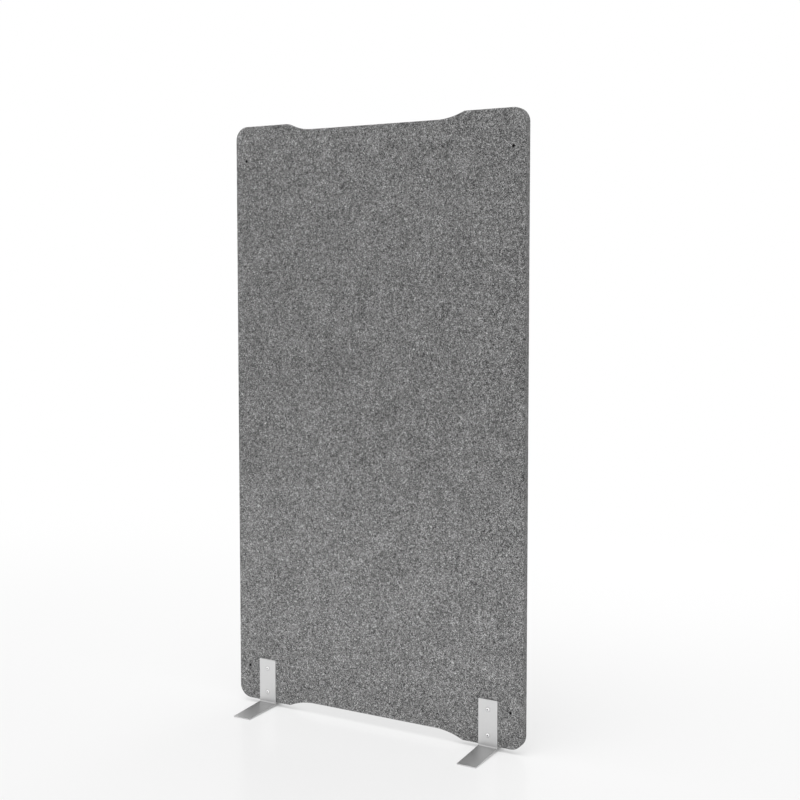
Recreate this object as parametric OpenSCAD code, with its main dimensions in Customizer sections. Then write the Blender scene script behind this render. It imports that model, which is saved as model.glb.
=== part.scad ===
// Free-standing acoustic divider screen.
// One stiff felt board is clamped between two pairs of bent steel feet, which
// stand back to back and are held by bolts and sleeve nuts through the board.
// X runs along the board, Y through its thickness and Z up. The origin is on
// the floor under the middle of the board, and the front of the board faces -Y.

/* [Board] */
// Width of the board from side to side
board_w = 900; // [700:10:1400]
// Height of the board from its lower edge to its upper edge
board_h = 1650; // [900:10:2000]
// Thickness of the felt
board_t = 24; // [20:1:40]
// Radius of the board's four outer corners
corner_r = 37; // [10:1:60]
// Gap between the floor and the board's lower edge
board_lift = 12; // [8:1:30]

/* [Edge recesses] */
// Distance from each side of the board to the start of a recess
recess_inset = 175; // [160:5:220]
// Length of the curved end of a recess, along the board
recess_run = 83; // [40:1:100]
// Depth of a recess below the edge of the board
recess_depth = 18.4; // [8:0.1:30]

/* [Link holes] */
// Diameter of the link holes near the corners
link_d = 6; // [4:0.5:10]
// Distance of a link hole from the side of the board
link_side = 36; // [25:1:50]
// Distance of a link hole from the upper or lower edge of the board
link_end = 97; // [60:1:140]

/* [Feet] */
// Thickness of the steel
foot_t = 3; // [2:0.5:5]
// Width of a foot
foot_w = 55; // [40:1:70]
// Distance of a foot's centre line from the side of the board
foot_side = 99; // [90:1:120]
// Height of a foot's leg above its upper bolt
leg_over = 26; // [15:1:60]
// Distance from the face of the board to the end of a sole
foot_reach = 129; // [80:1:180]
// Radius on the inner side of the bend
bend_r = 4; // [1:0.5:8]
// Angle at which the sole slopes down to the floor, in degrees
sole_slope = 2.7; // [0:0.1:4]

/* [Fasteners] */
// Height of the lower bolt above the lower edge of the board
bolt_low = 28; // [26:1:40]
// Distance between the two bolts in a foot
bolt_pitch = 69; // [40:1:80]
// Diameter of the bolt's shank
bolt_d = 6; // [4:0.5:6]
// Length of the shank that is screwed into the sleeve
thread_len = 14; // [8:1:15]
// Outer diameter of the sleeve on the nut
sleeve_d = 8; // [7:0.5:8.5]
// Distance that the sleeve stops short of the front foot
sleeve_short = 3; // [1:0.5:4]
// Length of the sleeve that is left solid under its head
bore_stop = 2; // [1:0.5:3]
// Diameter of the domed heads
head_d = 10.5; // [10:0.5:16]
// Height of the domed heads
head_h = 3.3; // [2.5:0.1:5]
// Width across the flats of the hexagon sockets
socket_af = 4; // [2.5:0.5:4]
// Depth of the hexagon sockets
socket_deep = 2; // [1:0.1:2.2]
// Radial clearance of a shank or sleeve in its hole
hole_gap = 0.2; // [0.1:0.05:0.5]
// Radial clearance of the shank in the sleeve, where the threads meet
thread_gap = 0.05; // [0.02:0.01:0.1]

/* [Hidden] */
$fn = 96;
// How far a cut runs past the face that it opens
overrun = 1;

// Distance of each face of the board from its middle
board_face = board_t / 2;

// The straight floor of a recess, and the radius that its curved ends have
recess_flat = board_w - 2 * (recess_inset + recess_run);
recess_r = (pow(recess_run, 2) + pow(recess_depth, 2)) / (2 * recess_depth);

// The bend of a foot: its outer radius, the length of the sole that runs on
// from it, the height of its centre when the sole's end is on the floor, and
// the number of flats that it is drawn with
bend_out = bend_r + foot_t;
sole_len = (foot_reach - bend_out * (1 - sin(sole_slope))) / cos(sole_slope);
bend_z = bend_out * cos(sole_slope) + sole_len * sin(sole_slope);
bend_steps = 24;
foot_x = board_w / 2 - foot_side;
foot_face = board_face + foot_t;

// Heights of the two bolts in each foot
low_z = board_lift + bolt_low;
high_z = low_z + bolt_pitch;
leg_top = high_z + leg_over;

// The sleeve ends inside the board, and the shank reaches into it
sleeve_len = board_t + foot_t - sleeve_short;
bolt_len = foot_t + sleeve_short + thread_len;

// A head is a dome with a flat land, and these give the sphere that it is cut
// from: the land is a share of the head's diameter
land_share = 0.55;
land_r = head_d / 2 * land_share;
dome_drop = (pow(head_d / 2, 2) - pow(land_r, 2) - pow(head_h, 2)) / (2 * head_h);
dome_r = sqrt(pow(head_d / 2, 2) + pow(dome_drop, 2));
// A circle drawn with six sides has its corners at this radius
socket_r = socket_af / 2 / cos(30);

// Places that repeat: the two sides and the two rows of bolts
sides = [["left", -1], ["right", 1]];
rows = [["upper", high_z], ["lower", low_z]];

// The board's outline without its recesses, standing on the X axis
module board_blank() {
    translate([-board_w / 2, corner_r]) square([board_w, board_h - 2 * corner_r]);
    translate([corner_r - board_w / 2, 0]) square([board_w - 2 * corner_r, board_h]);
    for (x = [corner_r - board_w / 2, board_w / 2 - corner_r])
        for (z = [corner_r, board_h - corner_r])
            translate([x, z]) circle(r = corner_r);
}

// The cut for a recess in the upper edge, with that edge on the X axis. Each
// end is part of a large circle that meets the recess's floor smoothly.
module recess_cut() {
    translate([-recess_flat / 2, -recess_depth])
        square([recess_flat, recess_depth + recess_r]);
    for (x = [-recess_flat / 2, recess_flat / 2])
        translate([x, recess_r - recess_depth]) circle(r = recess_r);
}

module board_outline() {
    difference() {
        board_blank();
        translate([0, board_h]) recess_cut();
        mirror([0, 1]) recess_cut();
        for (x = [link_side - board_w / 2, board_w / 2 - link_side])
            for (z = [link_end, board_h - link_end])
                translate([x, z]) circle(d = link_d);
        for (x = [-foot_x, foot_x])
            for (z = [low_z, high_z])
                translate([x, z - board_lift]) circle(d = sleeve_d + 2 * hole_gap);
    }
}

// The felt board, cut from one sheet
module felt_board() {
    color("dimgray")
        translate([0, board_face, board_lift])
            rotate([90, 0, 0])
                linear_extrude(board_t) board_outline();
}

// A foot against one face of the board: way is -1 in front and 1 behind, and
// through_d is the hole for the shank or for the sleeve
module foot(side, way, through_d) {
    color("silver")
        translate([side * foot_x, 0, 0])
            mirror([0, way < 0 ? 1 : 0, 0])
                translate([0, board_face, 0])
                    difference() {
                        bent_strip();
                        for (z = [low_z, high_z])
                            translate([0, -overrun, z])
                                rotate([-90, 0, 0])
                                    cylinder(d = through_d, h = foot_t + 2 * overrun);
                    }
}

// A strip of steel with its leg on the XZ plane and its sole running out along
// Y, down to the floor
module bent_strip() {
    translate([-foot_w / 2, bend_out, bend_z])
        rotate([90, 0, 90])
            linear_extrude(foot_w) strip_profile();
}

// Side view of the strip, with the centre of its bend at the origin. A ray is
// a point at a distance and an angle from that centre.
function ray(r, angle) = r * [cos(angle), sin(angle)];
function bend_arc(r, from, to) = [
    for (i = [0:bend_steps]) ray(r, from + (to - from) * i / bend_steps)
];

module strip_profile() {
    leg_side = 180;
    sole_side = 270 - sole_slope;
    leg_rise = leg_top - bend_z;
    sole_run = ray(sole_len, -sole_slope);
    polygon(concat(
        [[-bend_r, leg_rise], [-bend_out, leg_rise]],
        bend_arc(bend_out, leg_side, sole_side),
        [ray(bend_out, sole_side) + sole_run, ray(bend_r, sole_side) + sole_run],
        bend_arc(bend_r, sole_side, leg_side)
    ));
}

module front_foot(side) {
    foot(side, -1, bolt_d + 2 * hole_gap);
}

module rear_foot(side) {
    foot(side, 1, sleeve_d + 2 * hole_gap);
}

// A domed head with a hexagon socket, standing on the XY plane
module button_head() {
    difference() {
        intersection() {
            translate([0, 0, -dome_drop]) sphere(r = dome_r);
            cylinder(d = head_d, h = head_h);
        }
        translate([0, 0, head_h - socket_deep])
            cylinder(r = socket_r, h = socket_deep + overrun, $fn = 6);
    }
}

// A bolt, put in from the front
module bolt(side, z) {
    color("gainsboro")
        translate([side * foot_x, -foot_face, z])
            rotate([90, 0, 0]) {
                button_head();
                translate([0, 0, -bolt_len]) cylinder(d = bolt_d, h = bolt_len);
            }
}

// A sleeve nut, put in from the rear, with a bore that takes the bolt
module sleeve_nut(side, z) {
    color("gainsboro")
        translate([side * foot_x, foot_face, z])
            rotate([-90, 0, 0]) {
                button_head();
                translate([0, 0, -sleeve_len])
                    difference() {
                        cylinder(d = sleeve_d, h = sleeve_len);
                        translate([0, 0, -overrun])
                            cylinder(d = bolt_d + 2 * thread_gap, h = sleeve_len - bore_stop + overrun);
                    }
            }
}

felt_board();
for (s = sides) {
    front_foot(s[1]);
    rear_foot(s[1]);
    for (r = rows) {
        bolt(s[1], r[1]);
        sleeve_nut(s[1], r[1]);
    }
}
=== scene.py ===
# A free-standing acoustic divider screen: a felt board with recessed edges,
# clamped between bent feet of brushed steel. All lengths are in metres.
import math

import bmesh
import bpy
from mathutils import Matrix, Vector, noise
from mathutils.geometry import delaunay_2d_cdt

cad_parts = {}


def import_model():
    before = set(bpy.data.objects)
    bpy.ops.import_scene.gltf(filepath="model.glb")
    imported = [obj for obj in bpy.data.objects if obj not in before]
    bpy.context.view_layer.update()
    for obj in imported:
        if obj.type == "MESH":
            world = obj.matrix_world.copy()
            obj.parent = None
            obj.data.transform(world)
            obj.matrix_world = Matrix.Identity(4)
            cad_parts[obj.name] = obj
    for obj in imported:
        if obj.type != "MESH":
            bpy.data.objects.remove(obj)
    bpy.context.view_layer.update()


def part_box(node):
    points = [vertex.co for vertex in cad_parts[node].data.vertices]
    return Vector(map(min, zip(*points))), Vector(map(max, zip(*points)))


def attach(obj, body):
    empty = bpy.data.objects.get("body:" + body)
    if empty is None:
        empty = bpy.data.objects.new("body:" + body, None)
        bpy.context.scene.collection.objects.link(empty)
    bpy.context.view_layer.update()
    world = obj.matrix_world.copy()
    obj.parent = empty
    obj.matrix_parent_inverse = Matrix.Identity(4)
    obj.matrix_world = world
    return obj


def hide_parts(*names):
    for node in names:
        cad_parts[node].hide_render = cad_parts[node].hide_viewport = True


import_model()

# The felt board. Its outline follows the sizes of the construction model.
CORNER_R = 0.037
RECESS_INSET = 0.175
RECESS_RUN = 0.083
RECESS_DEPTH = 0.0184
RECESS_R = (RECESS_RUN**2 + RECESS_DEPTH**2) / (2 * RECESS_DEPTH)
LINK_R = 0.003
LINK_SIDE = 0.036
LINK_END = 0.097
SLEEVE_HOLE_R = 0.0042
FELT_EDGE_R = 0.0026
FELT_HOLE_EDGE_R = 0.0007
FELT_PITCH = 0.0075
FELT_SUPPORT = 0.0009
FELT_SIDE_ROWS = 6
# How far the inner points of the felt's faces keep from its outline and its holes
FELT_CLEAR = FELT_EDGE_R + FELT_SUPPORT + FELT_PITCH / 2
FELT_HOLE_CLEAR = FELT_HOLE_EDGE_R + FELT_SUPPORT + FELT_PITCH / 3
# Unevenness of the felt: how far it rises, the size of its swellings, and where
# in the noise they start
FELT_SWELL = 0.00028
FELT_SWELL_SIZE = 0.045
FELT_SWELL_START = 3.0
FELT_RUFFLE = 0.00012
FELT_RUFFLE_SIZE = 0.011
FELT_RUFFLE_START = 7.0

# The feet
STEEL_T = 0.003
BEND_R = 0.004
SOLE_SLOPE = math.radians(2.7)
FOOT_CORNER_R = 0.0014
FOOT_EDGE_R = 0.00045
FOOT_HOLE_EDGE_R = FOOT_EDGE_R / 2
FOOT_PITCH = 0.007
FOOT_SIDE_ROWS = 3
FOOT_HOLE_CLEAR = FOOT_EDGE_R * 2 + FOOT_PITCH / 4
BEND_PITCH = 0.0006
BOLT_HOLE_R = 0.0032

# The fasteners
HEAD_R = 0.00525
HEAD_H = 0.0033
HEAD_LAND_R = 0.0029
HEAD_RIM_H = 0.0005
SOCKET_AF = 0.004
SOCKET_DEEP = 0.002
SOCKET_CHAMFER = 0.0002
# The drilled hollow below a socket: its radius where it starts, the radius and
# depth of its slope half way, and the depth of its point
HOLLOW_R = SOCKET_AF * 0.46
HOLLOW_SLOPE_R = SOCKET_AF * 0.25
HOLLOW_SLOPE_DEEP = SOCKET_AF / 12
HOLLOW_DEEP = SOCKET_AF / 6
SHANK_R = 0.003
SHANK_TIP_R = SHANK_R * 0.8
SLEEVE_R = 0.004
BORE_R = 0.00305
BORE_STOP = 0.002

# How finely curves are divided: the corners and recesses of the board, the
# corners of the feet, the holes, the rounded edges, the turned pieces, the domes
# of their heads, and the floor
ARC_STEPS = 16
FOOT_CORNER_STEPS = 5
HOLE_STEPS = 32
EDGE_STEPS = 4
TURN_STEPS = 72
DOME_STEPS = 10
FLOOR_STEPS = 96
# The angle between faces above which their edge is sharp, and the distance below
# which two points are one
SHARP_ANGLE = math.radians(38)
TOUCHING = 1e-7

# The camera, found from the outline of the board in the photograph
CAMERA_PLACE = (1.6997, -2.8807, 1.2226)
CAMERA_TURN = math.radians(29.352)
CAMERA_TILT = math.radians(3.61)
CAMERA_LENS = 55.534
CAMERA_SENSOR = 36
CAMERA_SHIFT = -0.05
CAMERA_CLIP = (0.05, 100)

# The felt's surface
FELT_ROUGHNESS = 0.95
FELT_SPECULAR = 0.25
FELT_SHEEN = 0.12
FELT_SHEEN_ROUGHNESS = 0.6
FELT_BUMP = 0.6
FELT_RELIEF = 0.0004
# The layers of fibres and of tufts, each turned on from the last: their number,
# the first one's turn as a share of the angle between two layers, the width and
# length of their strands, how far apart in the noise they lie, and their detail
FIBRE_LAYERS = 5
FIBRE_TURN = 0.6
FIBRE_WIDTH = 0.0003
FIBRE_LENGTH = 0.006
FIBRE_STEP = 2.3
FIBRE_DETAIL = 1.0
TUFT_LAYERS = 4
TUFT_TURN = 0.2
TUFT_WIDTH = 0.0013
TUFT_LENGTH = 0.0042
TUFT_STEP = 1.7
TUFT_DETAIL = 0.5
LAYER_SKEW = 0.7
# How far the strands curl, and the size and detail of their curls
CURL = 0.004
CURL_SIZE = 0.012
CURL_DETAIL = 1.0
MOTTLE_SIZE = 0.011
MOTTLE_DETAIL = 2.0
CLOUD_SIZE = 0.06
CLOUD_DETAIL = 3.0
# How far each pattern shifts the shade, and the tufts the height. The curve is
# the power that turns the shade into a tone.
FIBRE_SHARE = 4.1
TUFT_SHARE = 2.8
MOTTLE_SHARE = 1.9
CLOUD_SHARE = 0.75
TUFT_HEIGHT = 0.8
FELT_TONE = 0.174
FELT_CURVE = 2.6

# Painted shade in the link holes: the dark tone painted on their cut walls, the width of the
# painted dark rim around them, and the width of the part of it that is fully dark
HOLE_SHADE_TONE = 0.003
HOLE_SHADE_RIM = 0.0018
HOLE_FULL_SHADE_RIM = HOLE_SHADE_RIM / 8

# The brushed steel: its fine lines and wide patches, and how far each of them
# shifts the tone and the roughness
STEEL_TONE = 0.785
STEEL_ROUGHNESS = 0.54
STEEL_ANISOTROPY = 0.55
BRUSH_WIDTH = 0.0003
BRUSH_LENGTH = 0.025
BRUSH_DETAIL = 3.0
BRUSH_GRIT = 0.65
BRUSH_TONE_SHARE = 0.10
BRUSH_ROUGHNESS_SHARE = 0.16
BRUSH_BUMP = 0.35
BRUSH_RELIEF = 0.00005
PATCH_SIZE = 0.03
PATCH_DETAIL = 2.0
PATCH_TONE_SHARE = 0.05
PATCH_ROUGHNESS_SHARE = 0.08
# The soft shade on a foot around each head: its width and its share of the tone
SEAT_RIM = 0.0035
SEAT_SHADE = 0.14
# The soft shade that gathers at the fold of a foot: how far it reaches up the leg
# and out along the sole, and its share of the tone
FOLD_UP = 0.018
FOLD_OUT = 0.2
FOLD_SHADE = 0.27

# The polished steel of the fasteners, and the rings that turning leaves on it
FASTENER_TONE = 1.0
FASTENER_ROUGHNESS = 0.3
RING_WIDTH = 0.0002
RING_STRETCH = 0.3
RING_DETAIL = 2.0
RING_TONE_SHARE = 0.05
RING_ROUGHNESS_SHARE = 0.10
RING_BUMP = 0.3
RING_RELIEF = 0.00003
# The shade in the depth of a socket: its tone, and the distances from the axis
# between which it fades out towards the walls
SOCKET_TONE = 0.08
SOCKET_DARK_R = 0.0013
SOCKET_LIGHT_R = 0.0024

# The studio: an even dome, a wide soft lamp overhead and low ones in front and
# behind. A lamp is a place, a target, a width, a height, a level and the angle in
# degrees that its light spreads over.
WHITE = (1, 1, 1, 1)
WORLD_LEVEL = 0.635
LAMPS = {
    "overhead": ((0, -1.6, 5), (0, -1.59, 0), 3, 3, 0.404, 180),
    "low": ((0, -1.25, 0.1), (0, 0, 0.32), 1.6, 0.2, 0.057, 60),
    "rear": ((0, 3.2, 0.3), (0, 0, 0.6), 1.6, 0.3, 0.13, 90),
}
FLOOR_R = 40
FLOOR_TONE = 0.905
FLOOR_ROUGHNESS = 0.18
FLOOR_IOR = 1.22
# The share of plain white that the camera sees in the floor, which grows from
# its least value near the object to all of it far away. Where something stands
# over the floor within the contact distance it is held back, and a higher curve
# keeps that to the places that are almost covered.
FADE_LEAST = 0.296
FADE_MIDDLE = (0.3, -2.5, 0)
FADE_START = 0.0
FADE_END = 5.9
CONTACT_DISTANCE = 0.03
CONTACT_CURVE = 2.5

# The vertex attribute that holds each piece's own flat or turned coordinates, and
# the map that repeats them for the direction of the brushing
SHEET = "sheet"
SHEET_MAP = "sheet_map"

board_low, board_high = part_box("felt_board")


def box_middle(name):
    """The middle of a node's box."""
    low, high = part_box(name)
    return [(a + b) / 2 for a, b in zip(low, high)]


def circle_points(x, z, r, first, last, steps):
    """Points of an arc about (x, z), with angles in degrees."""
    turns = [math.radians(first + (last - first) * i / steps) for i in range(steps + 1)]
    return [Vector((x + r * math.cos(t), z + r * math.sin(t))) for t in turns]


def between(low, high, pitch):
    """Evenly spaced values from low to high, about a pitch apart."""
    steps = max(1, round((high - low) / pitch))
    return [low + (high - low) * i / steps for i in range(steps + 1)]


def spread(points, pitch):
    """The closed outline through points, with long straight stretches divided."""
    out = []
    for a, b in zip(points, points[1:] + points[:1]):
        steps = max(1, round((b - a).length / pitch))
        if (b - a).length > TOUCHING:
            out += [a.lerp(b, i / steps) for i in range(steps)]
    return out


def outward(outline):
    """For each point of an outline that runs anticlockwise, the way out of it, as
    long as it has to be for an inset of 1 to move both neighbouring edges by 1."""
    ways = []
    befores = outline[-1:] + outline[:-1]
    afters = outline[1:] + outline[:1]
    for before, here, after in zip(befores, outline, afters):
        first = (here - before).normalized()
        second = (after - here).normalized()
        a = Vector((first.y, -first.x))
        b = Vector((second.y, -second.x))
        middle = (a + b).normalized()
        ways.append(middle / max(middle.dot(a), 0.5))
    return ways


def grid_points(xs, ys, fits, spots, clear):
    """The points of a grid that fit an outline and keep clear of round holes, each
    of them a middle and a radius."""
    found = []
    for x in xs:
        for y in ys:
            point = Vector((x, y))
            if fits(x, y) and all((point - c).length > r + clear for c, r in spots):
                found.append(point)
    return found


def wall_profile(depth, r, support, levels):
    """Insets and levels of a wall from one face to the other, by way of the given
    levels. Its edges are rounded with radius r, with a supporting ring on each face."""
    turns = [math.pi / 2 * i / EDGE_STEPS for i in range(EDGE_STEPS + 1)]
    rounded = [(r * (1 - math.sin(t)), r * (1 - math.cos(t))) for t in turns]
    profile = [(r + support, 0)] + rounded
    profile += [(0, level) for level in levels]
    profile += [(inset, depth - drop) for inset, drop in reversed(rounded)]
    return profile + [(r + support, depth)]


def plate(name, outline, spots, grid, place, depth, rows, edge, hole_edge, support):
    """A flat sheet with round holes and rounded edges, as one closed mesh. The
    outline, the holes' spots and the grid lie in the sheet's plane, and place puts
    a point (across, along, depth) into the scene. The outer wall has the given
    number of rows."""
    mesh = bmesh.new()
    layer = mesh.verts.layers.float_vector.new(SHEET)

    def add(x, y, level):
        vert = mesh.verts.new(place(x, y, level))
        vert[layer] = (x, y, level)
        return vert

    def wall(points, r, sign, levels):
        """Makes the wall along a closed line. Gives its rings, and the line on the
        faces that it ends in."""
        ways = [way * sign for way in outward(points)]
        rings = []
        for inset, level in wall_profile(depth, r, support, levels):
            ring = [p - way * inset for p, way in zip(points, ways)]
            rings.append([add(q.x, q.y, level) for q in ring])
        for upper, lower in zip(rings, rings[1:]):
            for i in range(len(points)):
                j = (i + 1) % len(points)
                corners = [upper[i], upper[j], lower[j], lower[i]]
                mesh.faces.new(corners if sign > 0 else corners[::-1])
        return rings, [p - way * (r + support) for p, way in zip(points, ways)]

    levels = [(depth - 2 * edge) * i / rows + edge for i in range(1, rows)]
    walls = [wall(outline, edge, 1, levels)]
    for middle, r in spots:
        hole = circle_points(middle.x, middle.y, r, 0, 360, HOLE_STEPS)[:-1]
        walls.append(wall(hole, hole_edge, -1, [depth / 2]))

    flats = [flat for _, flat in walls]
    corners = [q for flat in flats for q in flat]
    owners = [i for i, flat in enumerate(flats) for _ in flat]
    edges = []
    for flat in flats:
        start = len(edges)
        edges += [(start + i, start + (i + 1) % len(flat)) for i in range(len(flat))]
    points, _, faces, sources, _, _ = delaunay_2d_cdt(corners + grid, edges, [], 1, TOUCHING)
    known = [min(source, default=len(corners)) for source in sources]
    owner = [owners[i] if i < len(corners) else -1 for i in known]
    for side, level in ((0, 0), (-1, depth)):
        rims = [vert for rings, _ in walls for vert in rings[side]]
        verts = [
            rims[i] if i < len(corners) else add(point.x, point.y, level)
            for point, i in zip(points, known)
        ]
        for face in faces:
            # A triangle with all its corners on one hole's rim would close the hole
            around = {owner[i] for i in face}
            if len(around) > 1 or around <= {0, -1}:
                trio = [verts[i] for i in face]
                mesh.faces.new(trio[::-1] if side == 0 else trio)
    bmesh.ops.recalc_face_normals(mesh, faces=mesh.faces)
    return finish_mesh(name, mesh)


def finish_mesh(name, mesh):
    """Turns a bmesh into a smooth object, with sharp edges where faces meet at a
    sharp angle."""
    for face in mesh.faces:
        face.smooth = True
    for edge in mesh.edges:
        if len(edge.link_faces) == 2 and edge.calc_face_angle(0) > SHARP_ANGLE:
            edge.smooth = False
    data = bpy.data.meshes.new(name)
    mesh.to_mesh(data)
    mesh.free()
    piece = bpy.data.objects.new(name, data)
    bpy.context.scene.collection.objects.link(piece)
    return piece


def wobble(point, rise, size, start):
    """A smooth random height at a point, with swellings of about the given size."""
    return rise * noise.noise(Vector(point) / size + Vector((start, 0, 0)))


def board_outline():
    """The board's outline, anticlockwise as seen from the front."""
    left, right = board_low.x, board_high.x
    low, high = board_low.z, board_high.z
    sweep = math.degrees(math.asin(RECESS_RUN / RECESS_R))
    flat = right - RECESS_INSET - RECESS_RUN
    floor_z = low + RECESS_DEPTH - RECESS_R
    roof_z = high - RECESS_DEPTH + RECESS_R
    r = CORNER_R
    arcs = [
        (left + r, low + r, r, 180, 270),
        (-flat, floor_z, RECESS_R, 90 + sweep, 90),
        (flat, floor_z, RECESS_R, 90, 90 - sweep),
        (right - r, low + r, r, 270, 360),
        (right - r, high - r, r, 0, 90),
        (flat, roof_z, RECESS_R, 270 + sweep, 270),
        (-flat, roof_z, RECESS_R, 270, 270 - sweep),
        (left + r, high - r, r, 90, 180),
    ]
    points = [point for arc in arcs for point in circle_points(*arc, ARC_STEPS)]
    return spread(points, FELT_PITCH)


def on_board(x, z):
    """Whether a grid point lies on the board, a little inside its outline."""
    side = board_high.x - abs(x)
    end = min(z - board_low.z, board_high.z - z)
    if side < FELT_CLEAR or end < FELT_CLEAR:
        return False
    if side < CORNER_R and end < CORNER_R:
        return math.hypot(CORNER_R - side, CORNER_R - end) < CORNER_R - FELT_CLEAR
    if side > RECESS_INSET - FELT_CLEAR:
        into = min(1, (side - RECESS_INSET + FELT_CLEAR) / RECESS_RUN)
        along = (1 - into) * RECESS_RUN
        dip = RECESS_DEPTH - (RECESS_R - math.sqrt(RECESS_R**2 - along**2))
        return end > dip + FELT_CLEAR
    return True


def felt_board(foot_x, bolt_zs):
    """The board, cut from one sheet of stiff felt, with an uneven surface."""
    low, high = board_low, board_high
    depth = high.y - low.y
    spots = [
        (Vector((side * (high.x - LINK_SIDE), z)), LINK_R)
        for side in (-1, 1)
        for z in (low.z + LINK_END, high.z - LINK_END)
    ]
    spots += [(Vector((side * foot_x, z)), SLEEVE_HOLE_R) for side in (-1, 1) for z in bolt_zs]
    grid = grid_points(
        between(low.x, high.x, FELT_PITCH), between(low.z, high.z, FELT_PITCH), on_board, spots,
        FELT_HOLE_CLEAR,
    )

    def place(x, z, level):
        y = low.y + level
        swell = wobble((x, y, z), FELT_SWELL, FELT_SWELL_SIZE, FELT_SWELL_START)
        ruffle = wobble((x, y, z), FELT_RUFFLE, FELT_RUFFLE_SIZE, FELT_RUFFLE_START)
        outwards = level / depth * 2 - 1
        return Vector((x + ruffle, y + (swell + ruffle) * outwards, z + ruffle))

    return plate(
        "board_of_felt", board_outline(), spots, grid, place, depth, FELT_SIDE_ROWS,
        FELT_EDGE_R, FELT_HOLE_EDGE_R, FELT_SUPPORT,
    )


def foot_lengths(name):
    """The lengths of a foot's leg, bend and sole, measured along the strip."""
    low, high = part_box(name)
    bend_out = BEND_R + STEEL_T
    reach = high.y - low.y - bend_out * (1 - math.sin(SOLE_SLOPE))
    sole = reach / math.cos(SOLE_SLOPE)
    bend_z = bend_out * math.cos(SOLE_SLOPE) + sole * math.sin(SOLE_SLOPE)
    bend = (BEND_R + STEEL_T / 2) * (math.pi / 2 - SOLE_SLOPE)
    return high.z - bend_z, bend, sole


def foot(name, bolt_zs, through_r):
    """A foot: a strip of flat steel with eased edges, bent into a leg and a sole."""
    low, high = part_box(name)
    front = low.y < 0
    way = -1 if front else 1
    face = high.y if front else low.y
    middle = box_middle(name)[0]
    half = (high.x - low.x) / 2
    bend_out = BEND_R + STEEL_T
    leg, bend, sole = foot_lengths(name)
    bend_z = high.z - leg
    turn = math.pi / 2 - SOLE_SLOPE
    length = leg + bend + sole

    def place(across, along, level):
        r = BEND_R + level
        angle = min(max((along - leg) / bend, 0), 1) * turn
        before = max(leg - along, 0)
        after = max(along - leg - bend, 0)
        out = bend_out - r * math.cos(angle) + after * math.sin(turn)
        up = bend_z - r * math.sin(angle) + before - after * math.cos(turn)
        return Vector((middle + across, face + way * out, up))

    rows = between(0, leg, FOOT_PITCH)[1:] + between(leg, leg + bend, BEND_PITCH)[1:]
    rows += between(leg + bend, length, FOOT_PITCH)[1:-1]
    r = FOOT_CORNER_R
    outline = circle_points(-half + r, r, r, 180, 270, FOOT_CORNER_STEPS)
    outline += circle_points(half - r, r, r, 270, 360, FOOT_CORNER_STEPS)
    outline += [Vector((half, y)) for y in rows]
    outline += circle_points(half - r, length - r, r, 0, 90, FOOT_CORNER_STEPS)
    outline += circle_points(-half + r, length - r, r, 90, 180, FOOT_CORNER_STEPS)
    outline += [Vector((-half, y)) for y in reversed(rows)]
    spots = [(Vector((0, high.z - z)), through_r) for z in bolt_zs]
    across = between(-half, half, FOOT_PITCH)[1:-1]
    grid = grid_points(across, rows, lambda x, y: True, spots, FOOT_HOLE_CLEAR)
    return plate(
        name + "_strip", spread(outline, FOOT_PITCH), spots, grid, place, STEEL_T,
        FOOT_SIDE_ROWS, FOOT_EDGE_R, FOOT_HOLE_EDGE_R, FOOT_EDGE_R,
    )


def six_sided(across_flats):
    """The radius of a hexagon in each direction."""
    flat = math.pi / 3
    return lambda turn: across_flats / 2 / math.cos(turn % flat - flat / 2)


def turned(name, rings, place):
    """A closed turned piece. Each ring is a radius, or a function that gives the
    radius for a direction, and a height; the first and last are points."""
    mesh = bmesh.new()
    layer = mesh.verts.layers.float_vector.new(SHEET)

    def add(r, turn, height):
        vert = mesh.verts.new(place(r * math.cos(turn), r * math.sin(turn), height))
        vert[layer] = (r, height, turn)
        return vert

    turns = [2 * math.pi * i / TURN_STEPS for i in range(TURN_STEPS)]
    made = []
    for radius, height in rings[1:-1]:
        sizes = [radius(t) if callable(radius) else radius for t in turns]
        made.append([add(r, t, height) for r, t in zip(sizes, turns)])
    first = add(0, 0, rings[0][1])
    last = add(0, 0, rings[-1][1])
    for i in range(TURN_STEPS):
        j = (i + 1) % TURN_STEPS
        mesh.faces.new([first, made[0][i], made[0][j]])
        mesh.faces.new([last, made[-1][j], made[-1][i]])
        for inner, outer in zip(made, made[1:]):
            mesh.faces.new([inner[i], outer[i], outer[j], inner[j]])
    bmesh.ops.recalc_face_normals(mesh, faces=mesh.faces)
    return finish_mesh(name, mesh)


def head_rings():
    """A domed head with a hexagon socket, from the socket's bottom to its rim."""
    bottom = HEAD_H - SOCKET_DEEP
    rise = HEAD_H - HEAD_RIM_H
    drop = (HEAD_R**2 - HEAD_LAND_R**2) / (2 * rise) - rise / 2
    dome_r = math.hypot(HEAD_R, drop)
    first = math.asin(HEAD_LAND_R / dome_r)
    last = math.asin(HEAD_R / dome_r)
    rings = [
        (0, bottom - HOLLOW_DEEP),
        (HOLLOW_SLOPE_R, bottom - HOLLOW_SLOPE_DEEP),
        (HOLLOW_R, bottom),
        (six_sided(SOCKET_AF), bottom + SOCKET_CHAMFER / 4),
        (six_sided(SOCKET_AF), HEAD_H - SOCKET_CHAMFER),
        (six_sided(SOCKET_AF + 2 * SOCKET_CHAMFER), HEAD_H),
        (HEAD_LAND_R - SOCKET_CHAMFER, HEAD_H),
    ]
    for i in range(DOME_STEPS + 1):
        angle = first + (last - first) * i / DOME_STEPS
        rings.append((dome_r * math.sin(angle), HEAD_RIM_H + dome_r * math.cos(angle) - drop))
    return rings + [(HEAD_R, HEAD_RIM_H / 2), (HEAD_R - SOCKET_CHAMFER, 0)]


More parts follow.
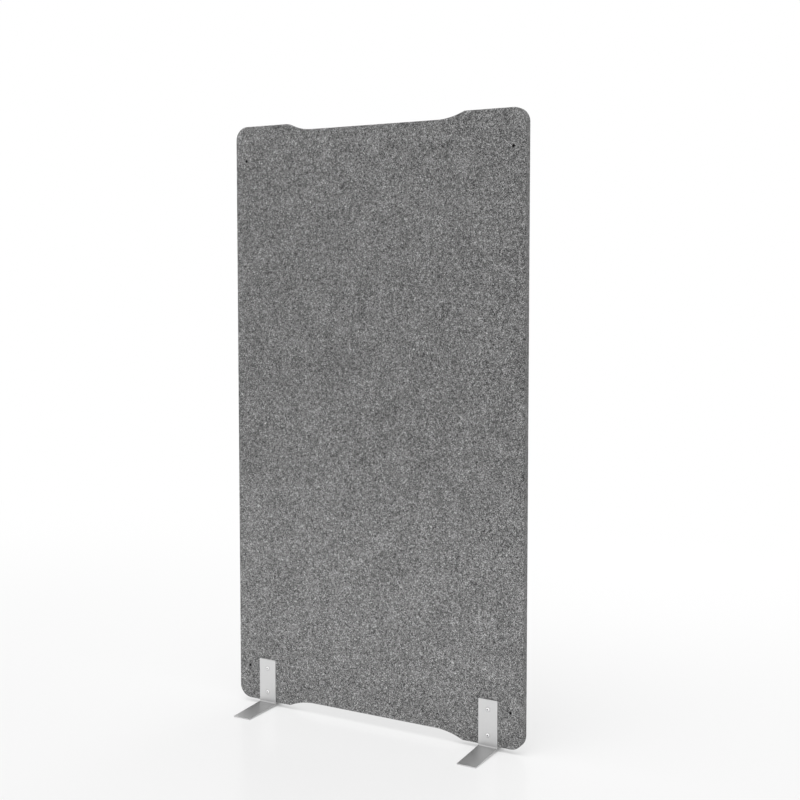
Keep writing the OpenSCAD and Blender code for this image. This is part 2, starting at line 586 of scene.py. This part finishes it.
def axis_place(name, seat):
    """The place of a turned piece's points: the node's box gives its axis, and seat
    is the distance from the board's middle to the underside of its head."""
    low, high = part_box(name)
    way = -1 if abs(low.y) > abs(high.y) else 1
    x, _, z = box_middle(name)
    return lambda a, b, height: Vector((x + a, way * (seat + height), z + b))


def node_length(name):
    """The length of a bolt or nut below its head."""
    low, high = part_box(name)
    return high.y - low.y - HEAD_H


def bolt(name, seat):
    """A button-head bolt with a hexagon socket."""
    length = node_length(name)
    rings = head_rings() + [(SHANK_R, 0), (SHANK_R, -length + SHANK_R - SHANK_TIP_R)]
    rings += [(SHANK_TIP_R, -length), (0, -length)]
    return turned(name + "_steel", rings, axis_place(name, seat))


def sleeve_nut(name, seat):
    """A sleeve nut: the same head on a bored sleeve."""
    length = node_length(name)
    ease = SOCKET_CHAMFER
    rings = head_rings() + [(SLEEVE_R, 0), (SLEEVE_R, -length + ease)]
    rings += [(SLEEVE_R - ease, -length), (BORE_R + ease, -length)]
    rings += [(BORE_R, -length + ease), (BORE_R, -BORE_STOP), (0, -BORE_STOP)]
    return turned(name + "_steel", rings, axis_place(name, seat))


def node(tree, kind, inputs=(), **settings):
    """A shader node. Each input is a value, or the output of another node."""
    made = tree.nodes.new("ShaderNode" + kind)
    for key, value in settings.items():
        setattr(made, key, value)
    for key, value in dict(inputs).items():
        if isinstance(value, bpy.types.NodeSocket):
            tree.links.new(value, made.inputs[key])
        else:
            made.inputs[key].default_value = value
    return made


def calc(tree, operation, *values, clamp=False):
    """The result of a Math node."""
    inputs = dict(enumerate(values))
    return node(tree, "Math", inputs, operation=operation, use_clamp=clamp).outputs[0]


def vector_calc(tree, operation, first, second):
    """The result of a Vector Math node on two vectors."""
    return node(tree, "VectorMath", {0: first, 1: second}, operation=operation).outputs[0]


def total(tree, values):
    """The sum of several values."""
    result = values[0]
    for value in values[1:]:
        result = calc(tree, "ADD", result, value)
    return result


def shares(tree, *pairs):
    """Each value times its share."""
    return [calc(tree, "MULTIPLY", value, share) for value, share in pairs]


def distance(tree, across, along):
    """The distance that two steps at a right angle make."""
    squares = calc(tree, "ADD", calc(tree, "POWER", across, 2), calc(tree, "POWER", along, 2))
    return calc(tree, "SQRT", squares)


def eased(tree, value, off, on):
    """A smooth step: 0 where the value is off or beyond it, 1 where it is on."""
    return node(
        tree, "MapRange", {"Value": value, "From Min": off, "From Max": on},
        interpolation_type="SMOOTHSTEP",
    ).outputs["Result"]


def shaded(tree, tone, share, depth):
    """A tone with a shade on it, whose share of the tone is depth where it is full."""
    shade = calc(tree, "MULTIPLY", share, depth)
    return calc(tree, "MULTIPLY", tone, calc(tree, "SUBTRACT", 1, shade))


def noise_at(tree, vector, size, detail, roughness=0.5):
    """A noise of about the given size, centred on zero."""
    made = node(
        tree, "TexNoise",
        {"Vector": vector, "Scale": 1 / size, "Detail": detail, "Roughness": roughness},
    )
    return calc(tree, "SUBTRACT", made.outputs["Fac"], 0.5)


def sheet_place(tree):
    """A point's own coordinates on its piece, and the three parts of them."""
    place = node(tree, "Attribute", attribute_name=SHEET).outputs["Vector"]
    return place, node(tree, "SeparateXYZ", {0: place}).outputs


def new_material(name, **sockets):
    """A material with one Principled shader, whose constant values are given."""
    material = bpy.data.materials.new(name)
    material.use_nodes = True
    tree = material.node_tree
    shader = tree.nodes["Principled BSDF"]
    for key, value in sockets.items():
        shader.inputs[key.replace("_", " ")].default_value = value
    return material, tree, shader


def set_grey(tree, shader, tone):
    """Gives a shader a grey base colour."""
    colour = node(tree, "CombineColor", {"Red": tone, "Green": tone, "Blue": tone})
    tree.links.new(colour.outputs[0], shader.inputs["Base Color"])


def set_bump(tree, shader, height, strength, relief):
    """Gives a shader a relief of the given depth."""
    bump = node(tree, "Bump", {"Height": height, "Strength": strength, "Distance": relief})
    tree.links.new(bump.outputs["Normal"], shader.inputs["Normal"])


def strand_layers(tree, place, count, first_turn, width, length, step, detail):
    """Noises drawn out along several directions of the board, as felted fibres are."""
    layers = []
    for i in range(count):
        offset = i * step
        moved = vector_calc(tree, "ADD", place, (offset, offset * LAYER_SKEW, -offset))
        turn = math.pi * (i + first_turn) / count
        turned_place = node(
            tree, "VectorRotate", {"Vector": moved, "Angle": turn}, rotation_type="Y_AXIS"
        ).outputs[0]
        scale = (1 / length, 1 / width, 1 / width)
        drawn = vector_calc(tree, "MULTIPLY", turned_place, scale)
        layers.append(noise_at(tree, drawn, 1.0, detail))
    return layers


def hole_shade_share(tree):
    """How much painted shade a point takes from a link hole: 1 on its wall, 0 beyond its dark
    rim.
    """
    _, parts = sheet_place(tree)
    middle = (board_low.z + board_high.z) / 2
    across = calc(tree, "ABSOLUTE", parts[0])
    along = calc(tree, "ABSOLUTE", calc(tree, "SUBTRACT", parts[1], middle))
    across = calc(tree, "SUBTRACT", across, board_high.x - LINK_SIDE)
    along = calc(tree, "SUBTRACT", along, board_high.z - middle - LINK_END)
    far = distance(tree, across, along)
    return eased(tree, far, LINK_R + HOLE_SHADE_RIM, LINK_R + HOLE_FULL_SHADE_RIM)


def felt_material():
    """Needled grey felt: light and dark fibres in every direction, over soft clouds."""
    material, tree, shader = new_material(
        "needled_felt", Roughness=FELT_ROUGHNESS, Specular_IOR_Level=FELT_SPECULAR,
        Sheen_Weight=FELT_SHEEN, Sheen_Roughness=FELT_SHEEN_ROUGHNESS,
    )
    place = node(tree, "TexCoord").outputs["Object"]
    bent = node(
        tree, "TexNoise", {"Vector": place, "Scale": 1 / CURL_SIZE, "Detail": CURL_DETAIL}
    )
    centred = vector_calc(tree, "SUBTRACT", bent.outputs["Color"], (0.5, 0.5, 0.5))
    curl = node(tree, "VectorMath", {0: centred, "Scale": CURL}, operation="SCALE").outputs[0]
    curled = vector_calc(tree, "ADD", place, curl)
    tufts = total(tree, strand_layers(
        tree, curled, TUFT_LAYERS, TUFT_TURN, TUFT_WIDTH, TUFT_LENGTH, TUFT_STEP, TUFT_DETAIL
    ))
    fibres = strand_layers(
        tree, curled, FIBRE_LAYERS, FIBRE_TURN, FIBRE_WIDTH, FIBRE_LENGTH, FIBRE_STEP,
        FIBRE_DETAIL,
    )
    light = fibres[0]
    dark = fibres[0]
    for fibre in fibres[1:]:
        light = calc(tree, "MAXIMUM", light, fibre)
        dark = calc(tree, "MINIMUM", dark, fibre)
    strands = calc(tree, "ADD", light, dark)
    mottle = noise_at(tree, place, MOTTLE_SIZE, MOTTLE_DETAIL)
    cloud = noise_at(tree, place, CLOUD_SIZE, CLOUD_DETAIL)
    shade = total(tree, shares(
        tree, (tufts, TUFT_SHARE), (strands, FIBRE_SHARE), (mottle, MOTTLE_SHARE),
        (cloud, CLOUD_SHARE),
    ))
    lift = calc(tree, "ADD", calc(tree, "DIVIDE", shade, FELT_CURVE), 1)
    lift = calc(tree, "POWER", calc(tree, "MAXIMUM", lift, 0), FELT_CURVE)
    tone = calc(tree, "MULTIPLY", lift, FELT_TONE, clamp=True)
    # Paints shade into the link holes: their walls and a rim around them turn dark.
    tone = node(tree, "Mix", {0: hole_shade_share(tree), 2: tone, 3: HOLE_SHADE_TONE}).outputs[0]
    set_grey(tree, shader, tone)
    height = total(tree, [strands] + shares(tree, (tufts, TUFT_HEIGHT)))
    set_bump(tree, shader, height, FELT_BUMP, FELT_RELIEF)
    return material


def seat_share(tree, parts, alongs):
    """How close a point of a foot is to a head: 1 under its edge, 0 past the rim."""
    nearest = HEAD_R + SEAT_RIM
    for along in alongs:
        off = calc(tree, "SUBTRACT", parts[1], along)
        nearest = calc(tree, "MINIMUM", nearest, distance(tree, parts[0], off))
    return eased(tree, nearest, HEAD_R + SEAT_RIM, HEAD_R)


def fold_share(tree, along, fold):
    """How close a point of a foot is to its fold: 1 there, 0 well away from it."""
    above = eased(tree, along, fold - FOLD_UP, fold)
    beyond = eased(tree, along, fold + FOLD_OUT, fold)
    return calc(tree, "MULTIPLY", above, beyond)


def steel_material(bolt_alongs, fold):
    """Flat steel, brushed along the strip, with fine uneven lines. The bolts and the
    fold are given by their distances along the strip."""
    material, tree, shader = new_material(
        "brushed_steel", Metallic=1.0, Anisotropic=STEEL_ANISOTROPY,
    )
    place, parts = sheet_place(tree)
    scale = (1 / BRUSH_WIDTH, 1 / BRUSH_LENGTH, 1 / BRUSH_WIDTH)
    drawn = vector_calc(tree, "MULTIPLY", place, scale)
    lines = noise_at(tree, drawn, 1.0, BRUSH_DETAIL, BRUSH_GRIT)
    patches = noise_at(tree, place, PATCH_SIZE, PATCH_DETAIL)
    tone = total(tree, [STEEL_TONE] + shares(
        tree, (lines, BRUSH_TONE_SHARE), (patches, PATCH_TONE_SHARE)
    ))
    tone = shaded(tree, tone, seat_share(tree, parts, bolt_alongs), SEAT_SHADE)
    tone = shaded(tree, tone, fold_share(tree, parts[1], fold), FOLD_SHADE)
    set_grey(tree, shader, tone)
    rough = total(tree, [STEEL_ROUGHNESS] + shares(
        tree, (lines, BRUSH_ROUGHNESS_SHARE), (patches, PATCH_ROUGHNESS_SHARE)
    ))
    tree.links.new(rough, shader.inputs["Roughness"])
    set_bump(tree, shader, lines, BRUSH_BUMP, BRUSH_RELIEF)
    tangent = node(tree, "Tangent", direction_type="UV_MAP", uv_map=SHEET_MAP)
    tree.links.new(tangent.outputs[0], shader.inputs["Tangent"])
    return material


def fastener_material():
    """Polished steel with the faint rings that turning leaves."""
    material, tree, shader = new_material("polished_steel", Metallic=1.0)
    place, parts = sheet_place(tree)
    scale = (1 / RING_WIDTH, 1 / RING_WIDTH, RING_STRETCH)
    rings = noise_at(tree, vector_calc(tree, "MULTIPLY", place, scale), 1.0, RING_DETAIL)
    inside = eased(tree, parts[0], SOCKET_LIGHT_R, SOCKET_DARK_R)
    sunk = calc(tree, "GREATER_THAN", parts[1], 0)
    below = calc(tree, "LESS_THAN", parts[1], HEAD_H - SOCKET_CHAMFER / 2)
    socket = calc(tree, "MULTIPLY", calc(tree, "MULTIPLY", inside, sunk), below)
    bright = total(tree, [FASTENER_TONE] + shares(tree, (rings, RING_TONE_SHARE)))
    tone = node(tree, "Mix", {0: socket, 2: bright, 3: SOCKET_TONE}).outputs[0]
    set_grey(tree, shader, tone)
    rough = total(tree, [FASTENER_ROUGHNESS] + shares(tree, (rings, RING_ROUGHNESS_SHARE)))
    tree.links.new(rough, shader.inputs["Roughness"])
    set_bump(tree, shader, rings, RING_BUMP, RING_RELIEF)
    return material


def seen(tree):
    """1 for what the camera and mirrors see, 0 for the light that falls on things."""
    path = node(tree, "LightPath")
    sight = calc(tree, "MAXIMUM", path.outputs["Is Camera Ray"], path.outputs["Is Glossy Ray"])
    return calc(tree, "MAXIMUM", sight, path.outputs["Is Transmission Ray"])


def floor_material():
    """A pale floor that keeps the shadows near the object, and that turns to plain
    white far from it, where only the camera and mirrors see it."""
    material, tree, shader = new_material(
        "studio_floor", Roughness=FLOOR_ROUGHNESS, IOR=FLOOR_IOR,
        Base_Color=(FLOOR_TONE, FLOOR_TONE, FLOOR_TONE, 1),
    )
    place = node(tree, "TexCoord").outputs["Object"]
    away = node(
        tree, "VectorMath", {0: place, 1: FADE_MIDDLE}, operation="DISTANCE"
    ).outputs["Value"]
    fade = node(
        tree, "MapRange",
        {"Value": away, "From Min": FADE_START, "From Max": FADE_END, "To Min": FADE_LEAST},
        interpolation_type="SMOOTHERSTEP",
    ).outputs["Result"]
    space = node(tree, "AmbientOcclusion", {"Distance": CONTACT_DISTANCE}).outputs["AO"]
    shut = calc(tree, "POWER", calc(tree, "SUBTRACT", 1, space), CONTACT_CURVE)
    open_share = calc(tree, "SUBTRACT", 1, shut)
    share = calc(tree, "MULTIPLY", calc(tree, "MULTIPLY", fade, seen(tree)), open_share)
    white = node(tree, "Emission", {"Color": WHITE, "Strength": 1.0})
    mixed = node(tree, "MixShader", {0: share})
    tree.links.new(shader.outputs[0], mixed.inputs[1])
    tree.links.new(white.outputs[0], mixed.inputs[2])
    tree.links.new(mixed.outputs[0], tree.nodes["Material Output"].inputs["Surface"])
    return material


def floor():
    """The floor: a wide flat disc."""
    mesh = bmesh.new()
    bmesh.ops.create_circle(mesh, cap_ends=True, segments=FLOOR_STEPS, radius=FLOOR_R)
    piece = finish_mesh("studio_floor", mesh)
    piece.data.materials.append(floor_material())


def world():
    """An even white studio. The camera and mirrors see it at plain white."""
    made = bpy.data.worlds.new("studio")
    bpy.context.scene.world = made
    made.use_nodes = True
    tree = made.node_tree
    gap = calc(tree, "MULTIPLY", seen(tree), 1 - WORLD_LEVEL)
    strength = calc(tree, "ADD", gap, WORLD_LEVEL)
    background = tree.nodes["Background"]
    background.inputs["Color"].default_value = WHITE
    tree.links.new(strength, background.inputs["Strength"])


def area_lamp(name, place, target, wide, high, level, spread_angle):
    """A soft light that mirrors don't show. Its level is the share of plain white
    that a white surface at the target, turned to the light, takes from it."""
    place, target = Vector(place), Vector(target)
    data = bpy.data.lights.new(name, "AREA")
    data.shape = "RECTANGLE"
    data.size = wide
    data.size_y = high
    data.spread = math.radians(spread_angle)
    data.energy = level * math.pi**2 * (place - target).length_squared
    lamp = bpy.data.objects.new(name, data)
    lamp.location = place
    lamp.rotation_euler = (target - place).to_track_quat("-Z", "Y").to_euler()
    lamp.visible_camera = False
    lamp.visible_glossy = False
    bpy.context.scene.collection.objects.link(lamp)


def camera():
    """The camera, where the photograph was taken from."""
    data = bpy.data.cameras.new("camera")
    data.sensor_width = CAMERA_SENSOR
    data.lens = CAMERA_LENS
    data.shift_y = CAMERA_SHIFT
    data.clip_start, data.clip_end = CAMERA_CLIP
    made = bpy.data.objects.new("camera", data)
    made.location = CAMERA_PLACE
    made.rotation_euler = (math.pi / 2 - CAMERA_TILT, 0, CAMERA_TURN)
    bpy.context.scene.collection.objects.link(made)
    bpy.context.scene.camera = made


def add_piece(piece, material, slot, *nodes):
    """Gives a piece its material and its brushing map, hangs it on the root body and hides the
    nodes that it stands for. The slot is not used.
    """
    uv = piece.data.uv_layers.new(name=SHEET_MAP, do_init=False).uv
    layer = piece.data.attributes[SHEET].data
    for loop in piece.data.loops:
        across, along, level = layer[loop.vertex_index].vector
        uv[loop.index].vector = (across + level, along + level)
    piece.data.materials.append(material)
    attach(piece, "root")
    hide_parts(*nodes)


def build():
    """Makes every piece of the object."""
    bolt_zs = [box_middle(f"left_{row}_bolt")[2] for row in ("upper", "lower")]
    foot_x = box_middle("front_right_foot")[0]
    foot_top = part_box("front_right_foot")[1].z
    leg, bend, _ = foot_lengths("front_right_foot")
    seat = board_high.y + STEEL_T
    felt = felt_material()
    polished = fastener_material()
    steel = steel_material([foot_top - z for z in bolt_zs], leg + bend / 2)
    add_piece(felt_board(foot_x, bolt_zs), felt, "felt", "felt_board")
    for side in ("left", "right"):
        for end, through_r in (("front", BOLT_HOLE_R), ("rear", SLEEVE_HOLE_R)):
            name = f"{end}_{side}_foot"
            add_piece(foot(name, bolt_zs, through_r), steel, "foot_steel", name)
        for row in ("upper", "lower"):
            name = f"{side}_{row}_bolt"
            add_piece(bolt(name, seat), polished, "fastener_steel", name)
            name = f"{side}_{row}_sleeve_nut"
            add_piece(sleeve_nut(name, seat), polished, "fastener_steel", name)


camera()
world()
floor()
for lamp_name, settings in LAMPS.items():
    area_lamp(lamp_name, *settings)
build()
bpy.context.scene.view_settings.view_transform = "Standard"
